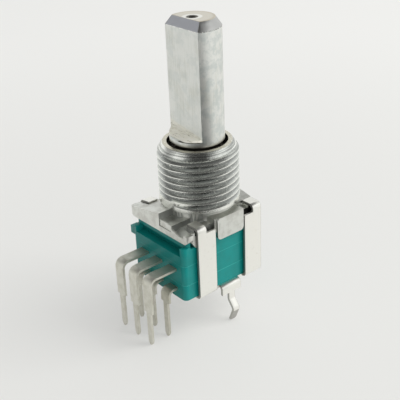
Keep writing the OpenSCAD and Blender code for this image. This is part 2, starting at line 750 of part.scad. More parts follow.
// One terminal: strip under the board, bend, wide leg, shoulders and pin
module terminal(i, top_z, row, bend_r, shoulder_z) {
    start = case_front - strip_hold;
    mid_z = top_z - board_t - strip_t / 2;
    reach = row - start - bend_r - strip_t / 2;
    drop = mid_z - bend_r - strip_t / 2 - shoulder_z;
    translate([i * pitch, 0, 0]) {
        across_x(strip_w) translate([start, mid_z])
            bent_strip([[reach, -90, bend_r], [drop, 0, 0]], strip_t);
        along_y(-row - strip_t / 2, -row + strip_t / 2) polygon([
            [-pin_w / 2, shoulder_z + strip_t], [pin_w / 2, shoulder_z + strip_t],
            [pin_w / 2, pin_end_z + 2 * pin_chamfer], [pin_w / 2 - pin_chamfer, pin_end_z],
            [-pin_w / 2 + pin_chamfer, pin_end_z], [-pin_w / 2, pin_end_z + 2 * pin_chamfer]]);
    }
}

module upper_terminal(i) color(tin)
    terminal(i, upper_board_z, front_row, front_bend_r, frame_z - front_shoulder);
module lower_terminal(i) color(tin)
    terminal(i, lower_board_z, back_row, back_bend_r, frame_z - back_shoulder);
module terminal_upper_1() { upper_terminal(-1); }
module terminal_upper_2() { upper_terminal(0); }
module terminal_upper_3() { upper_terminal(1); }
module terminal_lower_1() { lower_terminal(-1); }
module terminal_lower_2() { lower_terminal(0); }
module terminal_lower_3() { lower_terminal(1); }

module upper_board() color(phenolic) board(upper_board_z);
module lower_board() color(phenolic) board(lower_board_z);

// A rotor: disc and hub on the tang, with two studs for its wiper
module rotor(z0, top) {
    difference() {
        union() {
            translate([0, 0, z0]) cylinder(h = disc_t, d = rotor_d);
            translate([0, 0, z0]) cylinder(h = top - z0, d = hub_d);
        }
        prism(-far, far) tang_outline(key_clear);
    }
    for (x = [-1, 1]) translate([x * stud_r, 0, z0 - 2 * wiper_t])
        cylinder(h = 2 * wiper_t + lap, d = stud_d);
}
// Distance of the studs from the axis
stud_r = (wiper_d / 2 + tang_hole_d / 2) / 2;

module upper_rotor() color(rotor_white) rotor(upper_rotor_z, upper_rotor_top);
module lower_rotor() color(rotor_white) rotor(lower_rotor_z, lower_rotor_top);

// A wiper: ring under the rotor, with two sprung arms cut free in it that reach
// down towards the board
module wiper(z0, board_z) {
    fall = z0 - wiper_t - board_z;
    difference() {
        prism(z0 - wiper_t, z0) circle(wiper_d / 2);
        prism(-far, far) circle(tang_hole_d / 2);
        for (x = [-1, 1]) translate([x * stud_r, 0, 0])
            cylinder(h = 2 * far, d = stud_d + 2 * key_clear, center = true);
        for (turn = [0, 180]) rotate(turn)
            box(-arm_len / 2 + wiper_t, arm_len / 2 + 2 * wiper_t, stud_r - arm_w / 2 - wiper_t,
                stud_r + arm_w / 2 + wiper_t, -far, far);
    }
    for (turn = [0, 180]) rotate(turn)
        translate([-arm_len / 2, stud_r - arm_w / 2, z0 - wiper_t]) {
            rotate([0, asin((fall - 2 * wiper_t) / arm_len), 0]) cube([arm_len, arm_w, wiper_t]);
            translate([arm_len - wiper_t, 0, -fall + wiper_t + 2 * play]) rotate([-90, 0, 0])
                cylinder(h = arm_w, r = wiper_t);
        }
}

module upper_wiper() color(bronze) wiper(upper_rotor_z, upper_board_z);
module lower_wiper() color(bronze) wiper(lower_rotor_z, lower_board_z);

module stop_plate() color(steel) {
    arm_half = (360 - travel) / 2 - boss_half - stop_free;
    prism(stop_z, stop_z + stop_t) difference() {
        union() {
            circle(stop_d / 2);
            sector(1, chamber_d / 2 - layer_gap, -90, arm_half);
        }
        tang_outline(key_clear);
    }
}

module thrust_washer() color(steel) prism(washer_z, washer_z + washer_t) difference() {
    circle(washer_d / 2);
    circle(shaft_d / 2 + shaft_clear);
}

module retaining_ring() color(steel) prism(ring_z, ring_z + ring_t) difference() {
    circle(ring_d / 2);
    circle(groove_d / 2);
    rotate(90) polygon([[0, 0], [far, -far / 2], [far, far / 2]]);
}

shaft();
bushing_plate();
frame();
top_housing();
upper_wafer();
lower_wafer();
terminal_upper_1();
terminal_upper_2();
terminal_upper_3();
terminal_lower_1();
terminal_lower_2();
terminal_lower_3();
upper_board();
lower_board();
upper_rotor();
lower_rotor();
upper_wiper();
lower_wiper();
stop_plate();
thrust_washer();
retaining_ring();
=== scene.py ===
# %% [markdown]
# A dual rotary potentiometer, dressed for its portrait
#
# The packed model gives the real shapes at their real size: a D-shaft in a
# threaded bushing, a folded steel frame, three teal mouldings and two rows of
# terminals. This lesson cuts the fine thread, breaks the sharp edges, gives each
# metal and plastic its finish, and sets up the camera and the light. Sizes and
# places of the part are written in millimetres, because that is how such a part is
# measured. The scene is in metres, so MM turns one into the other.

import math

import bmesh
import bpy
from mathutils import Matrix, Vector


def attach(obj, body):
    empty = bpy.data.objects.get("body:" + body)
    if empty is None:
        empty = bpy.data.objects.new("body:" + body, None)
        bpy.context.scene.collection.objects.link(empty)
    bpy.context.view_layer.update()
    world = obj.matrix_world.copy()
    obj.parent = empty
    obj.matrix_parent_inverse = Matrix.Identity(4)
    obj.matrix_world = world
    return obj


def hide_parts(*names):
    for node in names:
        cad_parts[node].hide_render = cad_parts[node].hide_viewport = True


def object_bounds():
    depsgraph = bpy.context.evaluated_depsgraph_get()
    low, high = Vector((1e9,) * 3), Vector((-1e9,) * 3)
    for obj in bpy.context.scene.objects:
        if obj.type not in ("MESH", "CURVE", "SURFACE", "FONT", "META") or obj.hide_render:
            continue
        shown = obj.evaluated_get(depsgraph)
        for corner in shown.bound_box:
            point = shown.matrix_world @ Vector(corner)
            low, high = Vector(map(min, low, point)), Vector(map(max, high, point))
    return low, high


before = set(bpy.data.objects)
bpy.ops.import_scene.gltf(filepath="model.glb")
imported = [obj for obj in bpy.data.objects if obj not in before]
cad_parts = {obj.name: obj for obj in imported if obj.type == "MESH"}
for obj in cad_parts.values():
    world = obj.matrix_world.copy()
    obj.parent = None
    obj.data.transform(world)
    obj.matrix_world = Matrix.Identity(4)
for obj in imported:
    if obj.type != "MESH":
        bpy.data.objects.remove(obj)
cad_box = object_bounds()
MM = 0.001
print("nodes:", len(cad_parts), "CAD box:", cad_box)

# %% [markdown]
# The camera
#
# The picture was taken from about 86 mm away, a little above the part and turned
# towards its right side, with a slight tilt of the horizon. A camera could be
# aimed at a target, but the tilt would then need a second step. Three turns in a
# row give the same view and can be read off one by one.

# %% Place the camera
LENS_MM = 69.885
SENSOR_MM = 36
CAMERA_PLACE = Vector((59.973, -48.831, 39.023)) * MM
CAMERA_AZIMUTH = math.radians(50.838)
CAMERA_ELEVATION = math.radians(27.13)
CAMERA_ROLL = math.radians(-2.444)
NEAREST_SEEN = 0.001
FARTHEST_SEEN = 20

camera_data = bpy.data.cameras.new("portrait")
camera_data.lens = LENS_MM
camera_data.sensor_width = SENSOR_MM
camera_data.clip_start = NEAREST_SEEN
camera_data.clip_end = FARTHEST_SEEN
camera = bpy.data.objects.new("portrait", camera_data)
bpy.context.scene.collection.objects.link(camera)
camera.matrix_world = (Matrix.Translation(CAMERA_PLACE)
                       @ Matrix.Rotation(CAMERA_AZIMUTH, 4, "Z")
                       @ Matrix.Rotation(math.pi / 2 - CAMERA_ELEVATION, 4, "X")
                       @ Matrix.Rotation(CAMERA_ROLL, 4, "Z"))
bpy.context.scene.camera = camera
print("camera stands", round(CAMERA_PLACE.length / MM, 1), "mm from the panel seat")

# %% [markdown]
# Working on copies
#
# A CAD mesh arrives as loose triangles and stays as it is. To break its edges or
# to cut it, a copy is made: its doubles are merged, flat regions are joined back
# into single faces, and only then are the edges bevelled. A live Bevel modifier
# would do it too, but the thread has to be cut after the bevels of the casting,
# so the bevel is made in the mesh. A Weighted Normal modifier then lets the large
# faces look flat right up to their bevels.

# %% A copy with broken edges
MERGE_DISTANCE = 0.002
FLAT_ANGLE = math.radians(0.6)
EDGE_ANGLE = math.radians(32)


def merged_copy(node):
    """The node's mesh as a bmesh, with doubles merged and flat regions joined."""
    mesh = bmesh.new()
    mesh.from_mesh(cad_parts[node].data)
    bmesh.ops.remove_doubles(mesh, verts=mesh.verts, dist=MERGE_DISTANCE * MM)
    bmesh.ops.dissolve_limit(mesh, angle_limit=FLAT_ANGLE, verts=mesh.verts,
                             edges=mesh.edges)
    return mesh


def break_edges(mesh, width, wanted=None, finish=0):
    """Bevels the sharp edges, or those that wanted() picks, in the finish of that number."""
    sharp = [edge for edge in mesh.edges
             if len(edge.link_faces) == 2 and edge.calc_face_angle() > EDGE_ANGLE
             and (wanted is None or wanted(edge))]
    made = bmesh.ops.bevel(mesh, geom=sharp, offset=width, offset_type="OFFSET",
                           segments=2, profile=0.5, affect="EDGES", clamp_overlap=True,
                           material=-1)
    for face in made["faces"]:
        face.material_index = finish
    return len(sharp)


def dress(thing, finishes):
    """Gives a mesh object its finishes, in the order of their numbers."""
    for material in finishes:
        thing.data.materials.append(material)


def finish_piece(mesh, name, node, body, finishes):
    """Turns the bmesh into a piece that stands for a CAD node."""
    for face in mesh.faces:
        face.smooth = True
    for edge in mesh.edges:
        edge.smooth = len(edge.link_faces) == 2 and edge.calc_face_angle() < EDGE_ANGLE
    data = bpy.data.meshes.new(name)
    mesh.to_mesh(data)
    mesh.free()
    piece = bpy.data.objects.new(name, data)
    bpy.context.scene.collection.objects.link(piece)
    normals = piece.modifiers.new("even shading", "WEIGHTED_NORMAL")
    normals.keep_sharp = True
    dress(piece, finishes)
    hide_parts(node)
    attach(piece, body)
    return piece


print("edges sharper than", round(math.degrees(EDGE_ANGLE)), "degrees get a bevel")

# %% [markdown]
# Shader sums
#
# A finish is a small network of nodes. Written node by node it is long and hard
# to read, so one class wraps a socket and lets masks be added and multiplied as
# plain numbers are. Most masks are soft steps: above and below take the value at
# which the step begins and the one at which it is complete.

# %% A socket that can do sums
class Value:
    """An output socket of a network. Sums on it add Math nodes."""

    def __init__(self, network, socket):
        self.network = network
        self.socket = socket

    def math(self, operation, *values):
        sockets = dict(enumerate(values))
        return self.network.node("ShaderNodeMath", {"operation": operation}, sockets)

    def __add__(self, other):
        return self.math("ADD", self, other)

    def __radd__(self, other):
        return self.math("ADD", other, self)

    def __sub__(self, other):
        return self.math("SUBTRACT", self, other)

    def __rsub__(self, other):
        return self.math("SUBTRACT", other, self)

    def __mul__(self, other):
        return self.math("MULTIPLY", self, other)

    def __rmul__(self, other):
        return self.math("MULTIPLY", other, self)

    def above(self, low, high):
        """0 below low, 1 above high, with a soft step between them."""
        return self.network.node("ShaderNodeMapRange", {"interpolation_type": "SMOOTHSTEP"},
                                {"Value": self, "From Min": low, "From Max": high})

    def below(self, low, high):
        """1 below low, 0 above high, with the same soft step."""
        return 1 - self.above(low, high)

    def absolute(self):
        return self.math("ABSOLUTE", self)

    def root(self):
        return self.math("SQRT", self)

    def either(self, other):
        """The larger of two masks."""
        return self.math("MAXIMUM", self, other)


print("a value has:", ", ".join(name for name in vars(Value) if not name.startswith("_")))

# %% [markdown]
# One way of making nodes
#
# Colours, noise and lights need other nodes than sums do. One method makes them
# all: it takes the kind of node, its settings and the values of its sockets, and
# sets them in that order, because some settings decide which sockets there are.

# %% A network of nodes
class Network:
    """A node tree, of a finish or of the sky, that starts empty."""

    def __init__(self, tree):
        self.tree = tree
        tree.nodes.clear()
        kind = "World" if isinstance(tree.id_data, bpy.types.World) else "Material"
        self.output = tree.nodes.new(f"ShaderNodeOutput{kind}")

    def feed(self, socket, value):
        if isinstance(value, Value):
            self.tree.links.new(value.socket, socket)
        else:
            socket.default_value = value

    def node(self, kind, settings=None, sockets=None, output=0):
        """Adds a node: first its settings, then its sockets."""
        node = self.tree.nodes.new(kind)
        for name, setting in (settings or {}).items():
            setattr(node, name, setting)
        for name, value in (sockets or {}).items():
            self.feed(node.inputs[name], value)
        return Value(self, node.outputs[output])

    def show(self, shader):
        self.feed(self.output.inputs["Surface"], shader)

    def seen(self):
        """1 for rays of the camera and those that metal or glass sends on."""
        camera, glossy, through = (
            self.node("ShaderNodeLightPath", output=f"Is {ray} Ray")
            for ray in ("Camera", "Glossy", "Transmission"))
        return camera.either(glossy).either(through)


print("a network has:", ", ".join(name for name in vars(Network) if not name.startswith("_")))

# %% [markdown]
# A finish
#
# Every finish of the part has one Principled shader, whose sockets take a number
# or a pattern. Patterns start from Object coordinates, which stay with a piece when
# it moves, and are read in millimetres, so a mask can use the sizes of the part.

# %% A material with one shader
class Finish(Network):
    """A material with one Principled shader."""

    def __init__(self, name, color, roughness, metallic=0.0, specular=0.5):
        self.material = bpy.data.materials.new(name)
        self.material.use_nodes = True
        super().__init__(self.material.node_tree)
        self.shader = self.tree.nodes.new("ShaderNodeBsdfPrincipled")
        self.show(Value(self, self.shader.outputs["BSDF"]))
        self.set("Base Color", (*color, 1))
        self.set("Roughness", roughness)
        self.set("Metallic", metallic)
        self.set("Specular IOR Level", specular)
        self.material.diffuse_color = (*color, 1)

    def set(self, name, value):
        self.feed(self.shader.inputs[name], value)

    def place(self, stretch=(1, 1, 1)):
        """Object coordinates in millimetres, stretched by the given factors."""
        spot = self.node("ShaderNodeTexCoord", output=3)
        scale = tuple(factor / MM for factor in stretch)
        return self.node("ShaderNodeVectorMath", {"operation": "MULTIPLY"},
                         {0: spot, 1: scale})

    def axis(self, name):
        """One of the three coordinates, in millimetres."""
        return self.node("ShaderNodeSeparateXYZ", sockets={0: self.place()},
                         output="XYZ".index(name))

    def noise(self, scale, stretch=(1, 1, 1), detail=3.0, roughness=0.55):
        """Cloudy noise from 0 to 1. Scale is in blobs a millimetre."""
        return self.node("ShaderNodeTexNoise", sockets={
            "Vector": self.place(stretch), "Scale": scale, "Detail": detail,
            "Roughness": roughness})

    def blend(self, mask, first, second):
        """The first colour where the mask is 0, the second where it is 1."""
        colors = [(*c, 1) if isinstance(c, tuple) else c for c in (first, second)]
        return self.node("ShaderNodeMix", {"data_type": "RGBA"},
                         {0: mask, 6: colors[0], 7: colors[1]}, output=2)

    def bump(self, height, depth):
        """Lets a height from 0 to 1 shade the surface, depth in millimetres."""
        normal = self.node("ShaderNodeBump", sockets={
            "Height": height, "Distance": depth * MM, "Strength": 1.0})
        self.set("Normal", normal)


print("a finish has:", ", ".join(name for name in vars(Finish) if not name.startswith("_")))

# %% [markdown]
# Turned and milled steel
#
# The shaft is bare metal, most likely free-cutting steel. Its round side was turned
# and has soft grey clouds, and its flat was milled, which leaves it dull, with fine
# marks along its length. A rough patch of burrs lies at the flat's foot, and the
# chamfer at the end has small burrs along its edges. The marks are far finer than a
# mesh could carry, so they are noise stretched along the shaft. Each patch is a mask
# made from the place of a point, in millimetres.

# %% Places on the shaft
FLAT_Y = -1.5
FLAT_FOOT_Z = 7.55
FLAT_RUNOUT = 0.35
SHAFT_END_Z = 20.0
SHAFT_R = 3.0
CHAMFER_W = 0.65
CHAMFER_H = 0.9
CHAMFER_FOOT_Z = SHAFT_END_Z - CHAMFER_H
MARK_R = 0.7
MARK_DEPTH = 0.3
BUSHING_TOP_Z = 6.8
print("flat from", FLAT_FOOT_Z, "to", SHAFT_END_Z, "mm above the panel seat")

# %% The foot of the flat
BURR_TILT = 0.18
BURR_LOW = 0.25
BURR_HIGH = 0.75
BURR_SHADOW_H = 0.10
BURR_SHADOW_X = 0.2
BURR_SHADOW_Y = -1.7


def foot_of_the_flat(steel, color, on_flat, x, y, z):
    """The burr patch at the flat's foot, higher on its left side, and a painted shadow under its
    overhanging edge.
    """
    height = z + x * BURR_TILT - FLAT_FOOT_Z - FLAT_RUNOUT
    foot = on_flat * height.below(BURR_LOW, BURR_HIGH)
    smear = steel.noise(1.0, (1.1, 5.0, 6.5), detail=5, roughness=0.7)
    color = steel.blend(foot, color, (0.97, 0.96, 0.86))
    color = steel.blend(foot * smear.above(0.50, 0.58), color, (1.0, 0.99, 0.92))
    color = steel.blend(foot * smear.below(0.37, 0.43), color, (0.33, 0.32, 0.26))
    # A thin dark line along the flat's foot is a painted shadow of the overhanging burr.
    burr_shadow = z.above(FLAT_FOOT_Z - BURR_SHADOW_H, FLAT_FOOT_Z - BURR_SHADOW_H + 0.03)
    burr_shadow = burr_shadow * z.below(FLAT_FOOT_Z, FLAT_FOOT_Z + 0.02)
    burr_shadow = burr_shadow * y.below(BURR_SHADOW_Y - 0.1, BURR_SHADOW_Y + 0.1) * x.above(BURR_SHADOW_X, BURR_SHADOW_X + 0.5)
    return steel.blend(burr_shadow, color, (0.05, 0.05, 0.04)), foot, smear


print("burrs reach", round(FLAT_RUNOUT + BURR_HIGH, 2), "mm above the flat's foot in its middle")

# %% The end of the shaft
BURR_LINE_H = 0.07
RIM_R = 1.9
BRIGHT_RING_R = 1.15


def end_of_the_shaft(steel, color, x, y, z):
    """Both chamfers with their burrs, the end face, and its centre mark with painted shade inside.
    """
    radius = (x * x + y * y).root()
    on_chamfer = z.above(CHAMFER_FOOT_Z, CHAMFER_FOOT_Z + 0.04)
    lost = (z - CHAMFER_FOOT_Z) * (CHAMFER_W / CHAMFER_H)
    rounded = (radius + lost).above(SHAFT_R - 0.10, SHAFT_R - 0.03)
    color = steel.blend(on_chamfer * rounded, color, (0.56, 0.56, 0.55))
    color = steel.blend(on_chamfer * (1 - rounded), color, (0.78, 0.79, 0.85))
    border = z.above(CHAMFER_FOOT_Z - BURR_LINE_H, CHAMFER_FOOT_Z - BURR_LINE_H + 0.03)
    border = border * z.below(CHAMFER_FOOT_Z + 0.02, CHAMFER_FOOT_Z + 0.05)
    burrs = border * steel.noise(1.0, (5, 5, 1)).above(0.46, 0.54)
    by_flat = y.below(FLAT_Y + 0.03, FLAT_Y + 0.10)
    color = steel.blend(burrs * by_flat, color, (1.0, 1.0, 0.98))
    color = steel.blend(burrs * (1 - by_flat) * 0.8, color, (0.22, 0.22, 0.21))
    on_end = z.above(SHAFT_END_Z - 0.04, SHAFT_END_Z - 0.01)
    color = steel.blend(on_end, color, (0.76, 0.72, 0.63))
    color = steel.blend(on_end * radius.above(RIM_R, RIM_R + 0.4), color, (0.64, 0.58, 0.47))
    bright_ring = on_end * radius.below(BRIGHT_RING_R - 0.2, BRIGHT_RING_R)
    color = steel.blend(bright_ring, color, (0.97, 0.96, 0.91))
    # The inside of the centre mark is painted dark as shade.
    mark_foot = SHAFT_END_Z - MARK_DEPTH
    mark_shade = z.above(mark_foot - 0.10, mark_foot - 0.05) * (1 - on_end)
    mark_shade = mark_shade * radius.below(MARK_R - 0.04, MARK_R + 0.02)
    return steel.blend(mark_shade, color, (0.20, 0.19, 0.17))


print("chamfers reach", CHAMFER_H, "mm down from the end")

# %% Finish of the shaft
MOUTH_SHADE_H = 0.50


def shaft_finish():
    steel = Finish("turned_steel", (0.80, 0.81, 0.79), 0.34, metallic=1.0)
    x, y, z = steel.axis("X"), steel.axis("Y"), steel.axis("Z")
    on_flat = y.below(FLAT_Y - 0.02, FLAT_Y + 0.05) * z.above(FLAT_FOOT_Z, FLAT_FOOT_Z + 0.05)
    streaks = steel.noise(1.0, (7, 7, 0.35), detail=4)
    clouds = steel.noise(0.45, detail=4)
    stain = (clouds * 0.6 + streaks * 0.4).above(0.45, 0.68)
    color = steel.blend(stain, (0.82, 0.83, 0.80), (0.70, 0.71, 0.66))
    mottle = steel.noise(1.0, detail=5, roughness=0.65).above(0.42, 0.62)
    color = steel.blend(mottle * (1 - on_flat * 0.7) * 0.8, color, (0.62, 0.66, 0.64))
    color, foot, smear = foot_of_the_flat(steel, color, on_flat, x, y, z)
    color = end_of_the_shaft(steel, color, x, y, z)
    # Inside the bushing's mouth the shaft is painted darker as shade.
    mouth_shade = z.below(BUSHING_TOP_Z - 0.10, BUSHING_TOP_Z + MOUTH_SHADE_H)
    color = steel.blend(mouth_shade, color, (0.38, 0.36, 0.31))
    steel.set("Base Color", color)
    steel.set("Roughness", 0.30 + on_flat * 0.22 + streaks * 0.10 + foot * 0.10)
    steel.set("Metallic", 1 - foot * 0.95)
    steel.bump(streaks * 0.4 + mottle * 0.3 + foot * smear * 2, 0.012)
    return steel.material


shaft_steel = shaft_finish()
print("shaft finish:", len(shaft_steel.node_tree.nodes), "nodes")

# %% [markdown]
# Die-cast zinc
#
# The bushing and its base plate are one casting. Zinc comes out of the die dull
# and slightly mottled. On the cut thread the crests are painted brighter as
# highlights, small bright spots are painted glints, and the grooves are painted
# darker as shade. The chamfer above it has turned rings, dark and bright, and the
# bright ones are painted glints; the inside of the mouth is painted dark as shade.
# All this is one finish with masks by height and radius. The plate's edges, painted
# bright as highlights, and the walls of its recesses, painted darker as shade, don't
# lie at one height or radius, so they are finishes of their own that are given to
# faces.

# %% The cut thread and the turned chamfer
THREAD_R = 4.5
NECK_R = 4.05
CHAMFER_LOW_Z = 5.8


def cut_turns(zinc, color, radius, on_turns):
    """Painted shade in the grooves and painted highlights on the crests."""
    groove_shade = radius.below(THREAD_R - 0.28, THREAD_R - 0.04) * radius.above(NECK_R, NECK_R + 0.10)
    color = zinc.blend(on_turns * groove_shade, color, (0.38, 0.39, 0.38))
    crest_highlight = on_turns * radius.above(THREAD_R - 0.07, THREAD_R - 0.01)
    return zinc.blend(crest_highlight, color, (0.92, 0.93, 0.88))


def turned_rings(zinc, color, on_chamfer):
    """Dark and bright turned rings, the bright ones painted glints, and the pattern that they come
    from.
    """
    turned = zinc.noise(1.0, (0.15, 0.15, 8.0), detail=2)
    color = zinc.blend(on_chamfer * turned.below(0.44, 0.54), color, (0.42, 0.43, 0.41))
    color = zinc.blend(on_chamfer * turned.above(0.56, 0.61), color, (1.0, 1.0, 0.96))
    return color, turned


print("thread's colours end", CHAMFER_LOW_Z, "mm above the panel seat")

# %% The slots behind the straps
SLOT_X = 4.2
STRAP_IN_Y = 2.0
STRAP_OUT_Y = 4.6
PLATE_UNDERSIDE_Z = -2.1
SLOT_TOP_Z = -0.95


def slot_wall_shade(x, y, z):
    """Mask of the four slots, whose walls are painted dark as shade."""
    beside, along = x.absolute(), y.absolute()
    mask = beside.above(SLOT_X, SLOT_X + 0.08) * along.above(STRAP_IN_Y, STRAP_IN_Y + 0.1)
    mask = mask * along.below(STRAP_OUT_Y - 0.05, STRAP_OUT_Y + 0.05)
    mask = mask * z.above(PLATE_UNDERSIDE_Z + 0.05, PLATE_UNDERSIDE_Z + 0.15)
    return mask * z.below(SLOT_TOP_Z - 0.05, SLOT_TOP_Z)


print("slots from", PLATE_UNDERSIDE_Z, "to", SLOT_TOP_Z, "mm")

# %% Finish of the casting
MOUTH_R = 3.35


def casting_finish():
    zinc = Finish("die_cast_zinc", (0.55, 0.56, 0.54), 0.42, metallic=1.0)
    x, y, z = zinc.axis("X"), zinc.axis("Y"), zinc.axis("Z")
    radius = (x * x + y * y).root()
    on_thread = z.above(0.0, 0.15)
    mottle = zinc.noise(1.1, detail=5).above(0.38, 0.66)
    grain = zinc.noise(9.0, detail=3)
    plate_color = zinc.blend(mottle, (0.76, 0.77, 0.73), (0.64, 0.64, 0.60))
    thread_color = zinc.blend(mottle, (0.74, 0.76, 0.72), (0.62, 0.64, 0.60))
    color = zinc.blend(on_thread, plate_color, thread_color)
    below_chamfer = z.below(CHAMFER_LOW_Z - 0.05, CHAMFER_LOW_Z + 0.05)
    color = cut_turns(zinc, color, radius, on_thread * below_chamfer)
    on_ring = z.above(BUSHING_TOP_Z - 0.04, BUSHING_TOP_Z - 0.01)
    on_chamfer = (1 - below_chamfer) * (1 - on_ring)
    color, turned = turned_rings(zinc, color, on_chamfer)
    color = zinc.blend(on_ring, color, (0.66, 0.63, 0.53))
    # The inside of the mouth is painted nearly black as shade.
    mouth_shade = radius.below(MOUTH_R + 0.01, MOUTH_R + 0.06) * on_thread * (1 - on_ring)
    color = zinc.blend(mouth_shade, color, (0.08, 0.08, 0.07))
    # The slots' walls are painted nearly black as shade.
    color = zinc.blend(slot_wall_shade(x, y, z), color, (0.05, 0.05, 0.05))
    # Small bright spots on the thread are painted glints.
    thread_glints = zinc.noise(4.5, detail=2).above(0.64, 0.70) * on_thread * (1 - mouth_shade)
    color = zinc.blend(thread_glints, color, (0.95, 0.96, 0.90))
    zinc.set("Base Color", color)
    zinc.set("Roughness", 0.36 - on_thread * 0.14 + mottle * 0.06)
    zinc.bump(grain + on_chamfer * turned * 1.5, 0.008)
    return zinc.material


casting_zinc = casting_finish()
# The plate's bevels are painted bright as highlights.
zinc_painted_highlight = Finish("zinc_edge_painted_highlight", (0.94, 0.95, 0.91), 0.30, metallic=0.7).material
# The upright recess walls are painted darker as shade.
recess_shade_zinc = Finish("zinc_recess_painted_shade", (0.42, 0.43, 0.41), 0.50, metallic=1.0).material
CASTING_FINISHES = [casting_zinc, zinc_painted_highlight, recess_shade_zinc]
print("casting finish:", len(casting_zinc.node_tree.nodes), "nodes")

# %% [markdown]
# Plated sheet
#
# The frame was stamped from plated steel, so its faces are satin and almost
# white, with faint marks of rolling that run along the straps.

# %% Finish of the frame
def frame_finish():
    sheet = Finish("plated_sheet", (0.88, 0.87, 0.82), 0.34, metallic=1.0)
    rolled = sheet.noise(1.0, (6, 6, 0.6), detail=3)
    marks = sheet.noise(2.2, detail=5).above(0.60, 0.74)
    sheet.set("Base Color", sheet.blend(marks, (0.96, 0.95, 0.90), (0.86, 0.84, 0.78)))
    sheet.set("Roughness", 0.30 + rolled * 0.12)
    sheet.bump(rolled, 0.004)
    return sheet.material


frame_sheet = frame_finish()
print("sheet finish:", len(frame_sheet.node_tree.nodes), "nodes")

# %% [markdown]
# Teal plastic
#
# The mouldings look like a filled polyester, smooth from the mould but not polished.
# A little unevenness in the gloss keeps the flat sides from looking painted, and
# the bevelled edges are painted paler as highlights.

# %% Finish of the mouldings
def moulding_finish():
    plastic = Finish("teal_plastic", (0.004, 0.240, 0.228), 0.30, specular=0.25)
    flow = plastic.noise(0.6, detail=3)
    speck = plastic.noise(7.0, detail=2).above(0.70, 0.78)
    color = plastic.blend(flow.above(0.35, 0.7), (0.004, 0.250, 0.238), (0.006, 0.225, 0.212))
    plastic.set("Base Color", plastic.blend(speck * 0.3, color, (0.20, 0.50, 0.45)))
    plastic.set("Roughness", 0.26 + flow * 0.10)
    return plastic.material


teal_plastic = moulding_finish()
# The mouldings' bevels are painted paler as highlights.
teal_painted_highlight = Finish("teal_painted_highlight", (0.03, 0.36, 0.33), 0.30, specular=0.3).material
MOULDING_FINISHES = [teal_plastic, teal_painted_highlight]
print("plastic finish:", len(teal_plastic.node_tree.nodes), "nodes")

# %% [markdown]
# Tinned terminals
#
# The terminals are copper alloy with a dull coat of tin, a warm silver. The tin
# is thicker in places, which shows as soft clouds. Towards the housing they are
# painted darker and browner, as shade.

# %% Finish of the terminals
HOUSING_SHADE_FULL_Y = -6.4
HOUSING_SHADE_FROM_Y = -8.4


def terminal_finish():
    tin = Finish("dull_tin", (0.74, 0.73, 0.66), 0.38, metallic=1.0)
    clouds = tin.noise(1.3, detail=4).above(0.35, 0.7)
    # Near the housing the terminals are painted darker and browner as shade.
    housing_shade = tin.axis("Y").above(HOUSING_SHADE_FROM_Y, HOUSING_SHADE_FULL_Y) * 0.7
    color = tin.blend(clouds, (0.74, 0.73, 0.66), (0.66, 0.65, 0.57))
    tin.set("Base Color", tin.blend(housing_shade, color, (0.46, 0.44, 0.37)))
    tin.set("Roughness", 0.47 + clouds * 0.10)
    return tin.material


dull_tin = terminal_finish()
print("tin finish:", len(dull_tin.node_tree.nodes), "nodes")

# %% [markdown]
# What is hidden inside
#
# The boards, rotors, wipers and washers can't be seen from outside, but each
# still gets the finish it has on a bench: a brown laminate with a printed dark
# track, off-white plastic, bronze springs and plain steel.

# %% Finishes of the inner pieces
TRACK_MIDDLE_R = 3.0
TRACK_HALF_W = 0.45


def board_finish():
    laminate = Finish("brown_laminate", (0.20, 0.11, 0.05), 0.6)
    x, y = laminate.axis("X"), laminate.axis("Y")
    radius = (x * x + y * y).root()
    off_track = (radius - TRACK_MIDDLE_R).absolute()
    track = off_track.below(TRACK_HALF_W - 0.03, TRACK_HALF_W + 0.03)
    laminate.set("Base Color", laminate.blend(track, (0.20, 0.11, 0.05), (0.02, 0.02, 0.02)))
    return laminate.material


brown_laminate = board_finish()
rotor_plastic = Finish("off_white_plastic", (0.80, 0.79, 0.74), 0.5).material
spring_bronze = Finish("spring_bronze", (0.72, 0.50, 0.25), 0.25, metallic=1.0).material
plain_steel = Finish("plain_steel", (0.55, 0.55, 0.54), 0.35, metallic=1.0).material

INNER_FINISHES = {
    "upper_board": brown_laminate, "lower_board": brown_laminate,
    "upper_rotor": rotor_plastic, "lower_rotor": rotor_plastic,
    "upper_wiper": spring_bronze, "lower_wiper": spring_bronze,
    "stop_plate": plain_steel, "thrust_washer": plain_steel, "retaining_ring": plain_steel,
}
for node, material in INNER_FINISHES.items():
    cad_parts[node].data.materials.clear()
    dress(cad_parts[node], [material])
print("inner pieces finished:", len(INNER_FINISHES))

# %% [markdown]
# The shaft
#
# Its shape is already right. Only its edges are too sharp to catch the light, so
# the copy gets a bevel of three hundredths of a millimetre, and of a tenth along
# the flat, where handling has worn the edges more.

# %% Shaft with broken edges
FLAT_EDGE_W = 0.10
SHAFT_EDGE_W = 0.03
LONG_EDGE = 2.0
ON_PLANE = 0.02


def beside_the_flat(edge):
    """The two long edges of the flat."""
    low, high = sorted(vert.co.z for vert in edge.verts)
    on_flat = all(abs(vert.co.y / MM - FLAT_Y) < ON_PLANE for vert in edge.verts)
    return on_flat and high - low > LONG_EDGE * MM


shaft_mesh = merged_copy("shaft")
print("flat's long edges bevelled:", break_edges(shaft_mesh, FLAT_EDGE_W * MM, beside_the_flat))
print("shaft edges bevelled:", break_edges(shaft_mesh, SHAFT_EDGE_W * MM))
finish_piece(shaft_mesh, "turned_shaft", "shaft", "turning_shaft", [shaft_steel])

